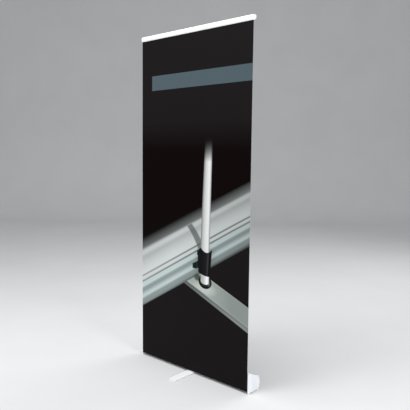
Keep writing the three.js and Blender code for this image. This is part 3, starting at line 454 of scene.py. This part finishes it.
def paint_pole_and_clamp(p):
    """Pole's end in the hole, the clamp's collar and knob over it, and the pole fading out upwards."""
    x, z = p.x, p.z
    left = 72.0 + (z - 757.0) * 0.048
    right = 143.0 + (z - 757.0) * 0.022
    skin, inside = p.round_shade(left + 12.0, right + 2.0, STUB_SHADES)
    round_end = (1.0 - squared((x - 111.0) / 33.0)).most(0.0).root() * 16.0
    p.cover(inside * (z - 568.0 + round_end).edge(2.5) * (640.0 - z).edge(), skin)

    collar_left = 57.0
    collar_right = 148.0 + (z - 600.0) * 0.082
    rim = p.arch(120.0, 44.0, 737.0, 25.0)
    hem = p.arch(128.0, 60.0, 600.0, 12.0)
    shoulder = 762.0 - (76.0 - x).most(0.0) * 0.9
    collar = between(x - collar_left, collar_right - x, 2.0) * between(rim.least(shoulder) - z, z - hem, 2.5)
    p.cover(collar, p.ramp((x - collar_left) / (collar_right - collar_left), COLLAR_SHADES))
    neck = p.box(44.0, 66.0, 640.0, 680.0)
    lug = p.box(47.0, 64.0, 714.0, 744.0, 4.0, 6.0)
    web = p.box(52.0, 62.0, 664.0, 730.0, 4.0, 8.0)
    p.cover(neck.most(lug).most(web), tone(23, 27, 28))
    knob_top = 662.0 + (x - 12.0) * 0.45
    p.cover(between(x - 12.0, 48.0 - x, 3.0) * between(z - 634.0, knob_top - z, 3.0), tone(22, 36, 36))
    p.cover(p.box(44.0, 49.0, 640.0, 672.0, 4.0, 4.0) * 0.5, tone(66, 80, 80))

    skin, inside = p.round_shade(left, right, TUBE_SHADES)
    rise = p.spread(z, 1.0, 0.0, (1250.0, 1385.0))
    fade = squared(rise) * (rise * 0.7 + 0.3)
    p.cover(inside * (z - rim).edge(2.5) * fade, skin)


def printed_film():
    p = Print("printed_film")
    cassette_top, cassette_low = p.line(*CASSETTE_TOP), p.line(*CASSETTE_LOW)
    paint_ground(p)
    paint_foot(p, cassette_low)
    paint_cassette(p, cassette_top, cassette_low)
    paint_hole(p)
    paint_pole_and_clamp(p)
    grain = p.spread(p.noise(p.place(), 700.0, 2.0), *INK_STRENGTH)
    p.link(p.mix(1.0, p.colour, grain, "MULTIPLY"), p.shader.inputs["Base Color"])
    fine = p.noise(p.place(), DOT_SCALE, 2.0)
    slow = p.noise(p.place((1, 1, 0.5)), 4.0, 3.0)
    p.link(p.spread(fine * 0.4 + slow * 0.6, 0.46, 0.56), p.shader.inputs["Roughness"])
    p.shader.inputs["Specular IOR Level"].default_value = FILM_SHINE
    p.bump(fine * 0.3 + slow, 0.15, 0.0004)
    return p.material


def film_ink():
    """Printed side of the film below the picture: plain black ink."""
    p = Look("film_ink")
    fine = p.noise(p.place(), DOT_SCALE, 2.0)
    p.link(p.mix(1.0, BLACK_INK, p.spread(fine, *INK_STRENGTH), "MULTIPLY"), p.shader.inputs["Base Color"])
    p.link(p.spread(fine, 0.46, 0.56), p.shader.inputs["Roughness"])
    p.shader.inputs["Specular IOR Level"].default_value = FILM_SHINE
    p.bump(fine, 0.1, 0.0001)
    return p.material


def film_back():
    """Unprinted light grey side of the film, with a faint weave of its blockout layer."""
    p = Look("film_back")
    weft = p.noise(p.place((1.0, 1.0, 0.25)), 900.0, 2.0)
    warp = p.noise(p.place((0.25, 1.0, 1.0)), 900.0, 2.0)
    weave = weft * 0.5 + warp * 0.5
    cloud = p.noise(p.place(), 5.0, 4.0)
    shade = p.spread(weave * 0.4 + cloud * 0.6, 0.93, 1.05)
    p.link(p.mix(1.0, (0.50, 0.51, 0.52, 1), shade, "MULTIPLY"), p.shader.inputs["Base Color"])
    p.link(p.spread(weave, 0.52, 0.62), p.shader.inputs["Roughness"])
    p.bump(weave, 0.2, 0.00008)
    return p.material


PRINT = printed_film()
INK = film_ink()
BACK = film_back()


# ---------------------------------------------------------------- making pieces
def add(name, mesh, materials, body, slot, *replaced):
    made = bpy.data.objects.new(name, mesh)
    SCENE.collection.objects.link(made)
    for material in materials:
        mesh.materials.append(material)
    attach(made, body)
    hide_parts(*replaced)
    return made


def settle(made, smooth_angle=35):
    """Applies the modifiers, then smooths the shading where faces meet gently."""
    bpy.context.view_layer.update()
    graph = bpy.context.evaluated_depsgraph_get()
    mesh = bpy.data.meshes.new_from_object(made.evaluated_get(graph))
    made.modifiers.clear()
    made.data = mesh
    mesh.shade_smooth()
    mesh.set_sharp_from_angle(angle=math.radians(smooth_angle))
    return made


def refined(node, material, slot, width=0.4, segments=2, angle=32, smooth_angle=40):
    """A CAD node's own shape with its facets merged and its sharp edges rounded."""
    source = frame["nodes"][node]
    body = source["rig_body"]
    mesh = bpy.data.meshes.new(node + "_shaped")
    bm = bmesh.new()
    bm.from_mesh(source.data)
    bmesh.ops.remove_doubles(bm, verts=bm.verts, dist=1e-6)
    bmesh.ops.dissolve_limit(bm, angle_limit=math.radians(0.5), verts=bm.verts, edges=bm.edges)
    bm.to_mesh(mesh)
    bm.free()
    made = add(node + "_shaped", mesh, [material], body, slot, node)
    if width:
        bevel = made.modifiers.new("edge", "BEVEL")
        bevel.width = width * MM
        bevel.segments = segments
        bevel.limit_method = "ANGLE"
        bevel.angle_limit = math.radians(angle)
        bevel.use_clamp_overlap = True
        bevel.harden_normals = False
        even = made.modifiers.new("even", "WEIGHTED_NORMAL")
        even.keep_sharp = True
    for face in mesh.polygons:
        face.use_smooth = True
    return settle(made, smooth_angle)


def along_pole(node):
    """Lower and upper ends of a round CAD node on the pole, on its axis."""
    points = np.array([v.co for v in frame["nodes"][node].data.vertices], float)
    reach = (points - np.array(POLE_POINT)) @ np.array(POLE_AXIS)
    return POLE_POINT + POLE_AXIS * reach.min(), POLE_POINT + POLE_AXIS * reach.max()


def radius_of(node):
    points = np.array([v.co for v in frame["nodes"][node].data.vertices], float) - np.array(POLE_POINT)
    off = points - np.outer(points @ np.array(POLE_AXIS), np.array(POLE_AXIS))
    return float(np.linalg.norm(off, axis=1).max())


def lathed(name, profile, facets, base, node, material, slot, flute=None):
    """Turned piece on the pole's axis. profile is a closed loop of [radius, height, fluted]."""
    turn = Vector((0, 0, 1)).rotation_difference(POLE_AXIS).to_matrix()
    bm = bmesh.new()
    rings = []
    for r, h, fluted in profile:
        ring = []
        for i in range(facets):
            a = 2 * math.pi * i / facets
            radius = r - (flute(a) if fluted and flute else 0)
            ring.append(bm.verts.new(base + turn @ Vector((radius * math.cos(a), radius * math.sin(a), h))))
        rings.append(ring)
    for a, b in zip(rings, rings[1:] + rings[:1]):
        for i in range(facets):
            j = (i + 1) % facets
            bm.faces.new((a[i], a[j], b[j], b[i]))
    bmesh.ops.recalc_face_normals(bm, faces=bm.faces)
    mesh = bpy.data.meshes.new(name)
    bm.to_mesh(mesh)
    bm.free()
    made = add(name, mesh, [material], frame["nodes"][node]["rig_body"], slot, node)
    for face in mesh.polygons:
        face.use_smooth = True
    mesh.set_sharp_from_angle(angle=math.radians(38))
    return made


TUBE_FACETS = 96


def make_tube(node, wall=1.2 * MM, lip=0.35 * MM):
    """Drawn tube with the edges of both its ends broken."""
    low, high = along_pole(node)
    length = (high - low).length
    outer = radius_of(node)
    inner = outer - wall
    profile = [
        (outer - lip, 0, 0), (outer, lip, 0), (outer, length / 2, 0), (outer, length - lip, 0),
        (outer - lip, length, 0), (inner + lip, length, 0), (inner, length - lip, 0),
        (inner, lip, 0), (inner + lip, 0, 0),
    ]
    lathed(node + "_drawn", profile, TUBE_FACETS, low, node, TUBE_METAL, "silver_aluminium")


LOCK_FACETS = 120
LOCK_RIBS = 20
FLUTE_DEPTH = 0.75 * MM
LOCK_FIT = 0.3 * MM  # clear of both tubes
GRIP_END = 7 * MM  # plain length at each end of the fluted grip
GRIP_RUN = 3 * MM  # length over which the flutes start


def make_twist_lock(node, tube_radius, inner_radius, grip):
    """Moulded lock: plain skirt on the wider tube, fluted grip, shoulder down to the narrower tube."""
    low, high = along_pole(node)
    length = (high - low).length
    r = radius_of(node)
    skirt = r - 1.0 * MM
    tube_bore = tube_radius + LOCK_FIT
    inner_bore = inner_radius + LOCK_FIT

    def flute(a):
        return FLUTE_DEPTH * max(0.0, math.cos(LOCK_RIBS * a)) ** 2

    profile = [
        (tube_bore, 0, 0),
        (skirt - 0.6 * MM, 0, 0),
        (skirt, 0.6 * MM, 0),
        (skirt, 5 * MM, 0),
        (r - 0.3 * MM, 6 * MM, 0),
        (r, GRIP_END, 1),
        (r, GRIP_END + GRIP_RUN, 1),
        (r, length - GRIP_END - GRIP_RUN, 1),
        (r, length - GRIP_END, 1),
        (r - 0.4 * MM, length - 6 * MM, 0),
        (r - 1.2 * MM, length - 3.4 * MM, 0),
        (r - 2.6 * MM, length - 0.8 * MM, 0),
        (r - 3.2 * MM, length, 0),
        (inner_bore, length, 0),
        (inner_bore, grip + LOCK_FIT, 0),
        (tube_bore, grip + LOCK_FIT, 0),
    ]
    lathed(node + "_moulded", profile, LOCK_FACETS, low, node, BLACK, "black_plastic", flute)


FILM_COLUMNS, FILM_ROWS = 85, 196
EDGE_CURL = 0.9 * MM
BOW = 0.28 * MM


def film_sway(x, z, low, high):
    """How far the film stands forward: curled sides, a slight bow and ripple, none at its ends."""
    across = x / high.x
    up = (z - low.z) / (high.z - low.z)
    freedom = math.sin(math.pi * up) ** 0.6 if 0 < up < 1 else 0.0
    ripple = math.sin(5.1 * across + 4.0 * up) * math.sin(2.6 * math.pi * up + 0.7)
    return -freedom * (EDGE_CURL * abs(across) ** 7 + BOW * (1 + ripple))


def make_film():
    """The hanging film as a thin sheet, printed in front, its picture laid out by x and z."""
    low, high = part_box("graphic_panel")
    columns, rows = FILM_COLUMNS, FILM_ROWS

    bm = bmesh.new()
    layer = bm.loops.layers.uv.new("print")
    sides = []
    for y in (low.y, high.y):
        grid = []
        for j in range(rows + 1):
            z = low.z + (high.z - low.z) * j / rows
            grid.append([
                bm.verts.new((low.x + (high.x - low.x) * i / columns, y, z)) for i in range(columns + 1)
            ])
        sides.append(grid)
    front, back = sides
    for j in range(rows):
        for i in range(columns):
            bm.faces.new((front[j][i], front[j][i + 1], front[j + 1][i + 1], front[j + 1][i]))
            face = bm.faces.new((back[j + 1][i], back[j + 1][i + 1], back[j][i + 1], back[j][i]))
            face.material_index = 1
    rim = []
    for i in range(columns):
        rim.append((front[0][i], back[0][i], back[0][i + 1], front[0][i + 1]))
        rim.append((front[rows][i + 1], back[rows][i + 1], back[rows][i], front[rows][i]))
    for j in range(rows):
        rim.append((front[j + 1][0], back[j + 1][0], back[j][0], front[j][0]))
        rim.append((front[j][columns], back[j][columns], back[j + 1][columns], front[j + 1][columns]))
    for corners in rim:
        bm.faces.new(corners).material_index = 1
    for face in bm.faces:
        for loop in face.loops:
            loop[layer].uv = (loop.vert.co.x, loop.vert.co.z)
    for v in bm.verts:
        v.co.y += film_sway(v.co.x, v.co.z, low, high)
    bmesh.ops.recalc_face_normals(bm, faces=bm.faces)
    mesh = bpy.data.meshes.new("printed_film")
    bm.to_mesh(mesh)
    bm.free()
    for face in mesh.polygons:
        face.use_smooth = True
    mesh.set_sharp_from_angle(angle=math.radians(30))
    made = add("film_sheet", mesh, [PRINT, BACK], "cassette", "printed_film", "graphic_panel")
    drop = next(j for j in frame["joints"] if j["name"] == "banner_height")
    travel = -drop["range_m"][0]
    1 - travel / (high.z - low.z)
    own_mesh(made)


def make_wound_film(node, centre):
    """Film under the glide or on the roller, printed on the side that faces away from the centre."""
    made = refined(node, INK, "printed_film", 0, smooth_angle=50)
    made.data.materials.append(BACK)
    for face in made.data.polygons:
        away = (face.center - centre).dot(face.normal)
        face.material_index = 0 if away > 0 else 1


refined("cassette_housing", ALUMINIUM, "silver_aluminium", 0.15)
refined("end_cap_left", WHITE, "white_plastic", 0.7, 3)
refined("end_cap_right", WHITE, "white_plastic", 0.7, 3)
refined("exit_glide", NYLON, "nylon", 0)
refined("top_rail_front", RAIL_METAL, "rail_aluminium", 0.3)
refined("top_rail_back", RAIL_METAL, "rail_aluminium", 0.3)
refined("rail_end_cap_left", WHITE, "white_plastic", 0.5)
refined("rail_end_cap_right", WHITE, "white_plastic", 0.5)
refined("foot_bar", FOOT_METAL, "silver_aluminium", 0.4)
refined("foot_hole_ring", BLACK, "black_plastic", 0.4)
refined("foot_pad_front", RUBBER, "rubber", 0.2)
refined("foot_pad_rear", RUBBER, "rubber", 0.2)
refined("pole_clamp", BLACK, "black_plastic", 0.7, 3)
refined("clamp_knob", BLACK, "black_plastic", 0.5, 2, 50, 50)
refined("pole_tip", BLACK, "black_plastic", 0.3)
make_tube("pole_lower_tube")
make_tube("pole_middle_tube")
make_tube("pole_upper_tube")
make_twist_lock("twist_lock_lower", radius_of("pole_lower_tube"), radius_of("pole_middle_tube"), 18 * MM)
make_twist_lock("twist_lock_upper", radius_of("pole_middle_tube"), radius_of("pole_upper_tube"), 18 * MM)
make_film()
glide_centre = sum(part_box("exit_glide"), Vector()) / 2
roller_centre = sum(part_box("roller_tube"), Vector()) / 2
make_wound_film("graphic_lead", glide_centre)
make_wound_film("graphic_roll", roller_centre)

# Inner and small pieces keep their CAD shape
FINISH = {
    STEEL: ["spring_mandrel", "torsion_spring", "idler_pin", "foot_pivot_bolt", "foot_pivot_nut",
            "clamp_screw_left", "clamp_screw_right"],
    ALUMINIUM: ["roller_tube"],
    BLACK: ["roller_plug_drive", "roller_plug_idler", "spring_anchor", "pole_lower_plug",
            "middle_tube_expander", "upper_tube_expander"],
    NYLON: ["foot_pivot_washer"],
}
for side in ("left", "right"):
    for place in ("front", "top", "rear"):
        FINISH[STEEL].append(f"end_cap_screw_{side}_{place}")
for material, names in FINISH.items():
    for name in names:
        node = frame["nodes"][name]
        node.data.materials.clear()
        node.data.materials.append(material)


# ---------------------------------------------------------------- studio
SWEEP_REACH = 9.0
SWEEP_HALF_WIDTH = 14.0
SWEEP_BEND = 2.0
SWEEP_BEND_STEPS = 12
WALL_HEIGHT = 7.0
FLOOR_TONE = (0.64, 0.64, 0.64, 1)
SKY_TONE = (0.93, 0.96, 1.0, 1)
SKY_STRENGTH = 0.50
# Softboxes: place, target, size in metres, watts
SOFTBOXES = {
    "key": ((-1.6, -4.2, 3.6), (0, 0, 0.9), (2.4, 2.4), 112),
    "side": ((4.2, -0.6, 2.6), (0.3, 0, 0.9), (1.6, 3.0), 98),
    "top": ((-0.4, -1.2, 4.6), (0, -0.4, 0), (3.0, 2.0), 105),
    "back": ((0.8, 4.0, 3.2), (0, 0, 0.9), (2.4, 2.0), 62),
}


def floor_material():
    p = Look("studio_floor")
    cloud = p.noise(p.place(), 1.5, 4.0)
    shade = p.mix(1.0, FLOOR_TONE, p.spread(cloud, 0.98, 1.02), "MULTIPLY")
    p.link(shade, p.shader.inputs["Base Color"])
    p.set(Roughness=0.8)
    return p.material


def make_sweep():
    """Plain pale floor that curves up into a wall behind the stand, square to the camera."""
    bm = bmesh.new()
    start = SWEEP_REACH - SWEEP_BEND
    profile = [(-SWEEP_REACH, 0.0)]
    for a in np.linspace(0, math.pi / 2, SWEEP_BEND_STEPS + 1):
        profile.append((start + SWEEP_BEND * math.sin(a), SWEEP_BEND - SWEEP_BEND * math.cos(a)))
    profile.append((SWEEP_REACH, WALL_HEIGHT))
    turn = Matrix.Rotation(CAMERA_YAW, 3, "Z")
    sides = (-SWEEP_HALF_WIDTH, SWEEP_HALF_WIDTH)
    rows = [[bm.verts.new(turn @ Vector((x, y, z))) for x in sides] for y, z in profile]
    for a, b in zip(rows, rows[1:]):
        bm.faces.new((a[0], a[1], b[1], b[0]))
    mesh = bpy.data.meshes.new("studio_sweep")
    bm.to_mesh(mesh)
    bm.free()
    for face in mesh.polygons:
        face.use_smooth = True
    sweep = bpy.data.objects.new("studio_sweep", mesh)
    mesh.materials.append(floor_material())
    SCENE.collection.objects.link(sweep)


def make_sky():
    world = bpy.data.worlds.new("studio_world")
    world.use_nodes = True
    background = world.node_tree.nodes["Background"]
    background.inputs["Color"].default_value = SKY_TONE
    background.inputs["Strength"].default_value = SKY_STRENGTH
    SCENE.world = world


def make_softbox(name, place, target, size, power):
    data = bpy.data.lights.new(name, "AREA")
    data.shape = "RECTANGLE"
    data.size, data.size_y = size
    data.energy = power
    lamp = bpy.data.objects.new(name, data)
    lamp.location = place
    lamp.rotation_euler = (Vector(target) - Vector(place)).to_track_quat("-Z", "Y").to_euler()
    SCENE.collection.objects.link(lamp)


make_sweep()
make_sky()
for name, setting in SOFTBOXES.items():
    make_softbox(name, *setting)
SCENE.view_settings.view_transform = "Standard"
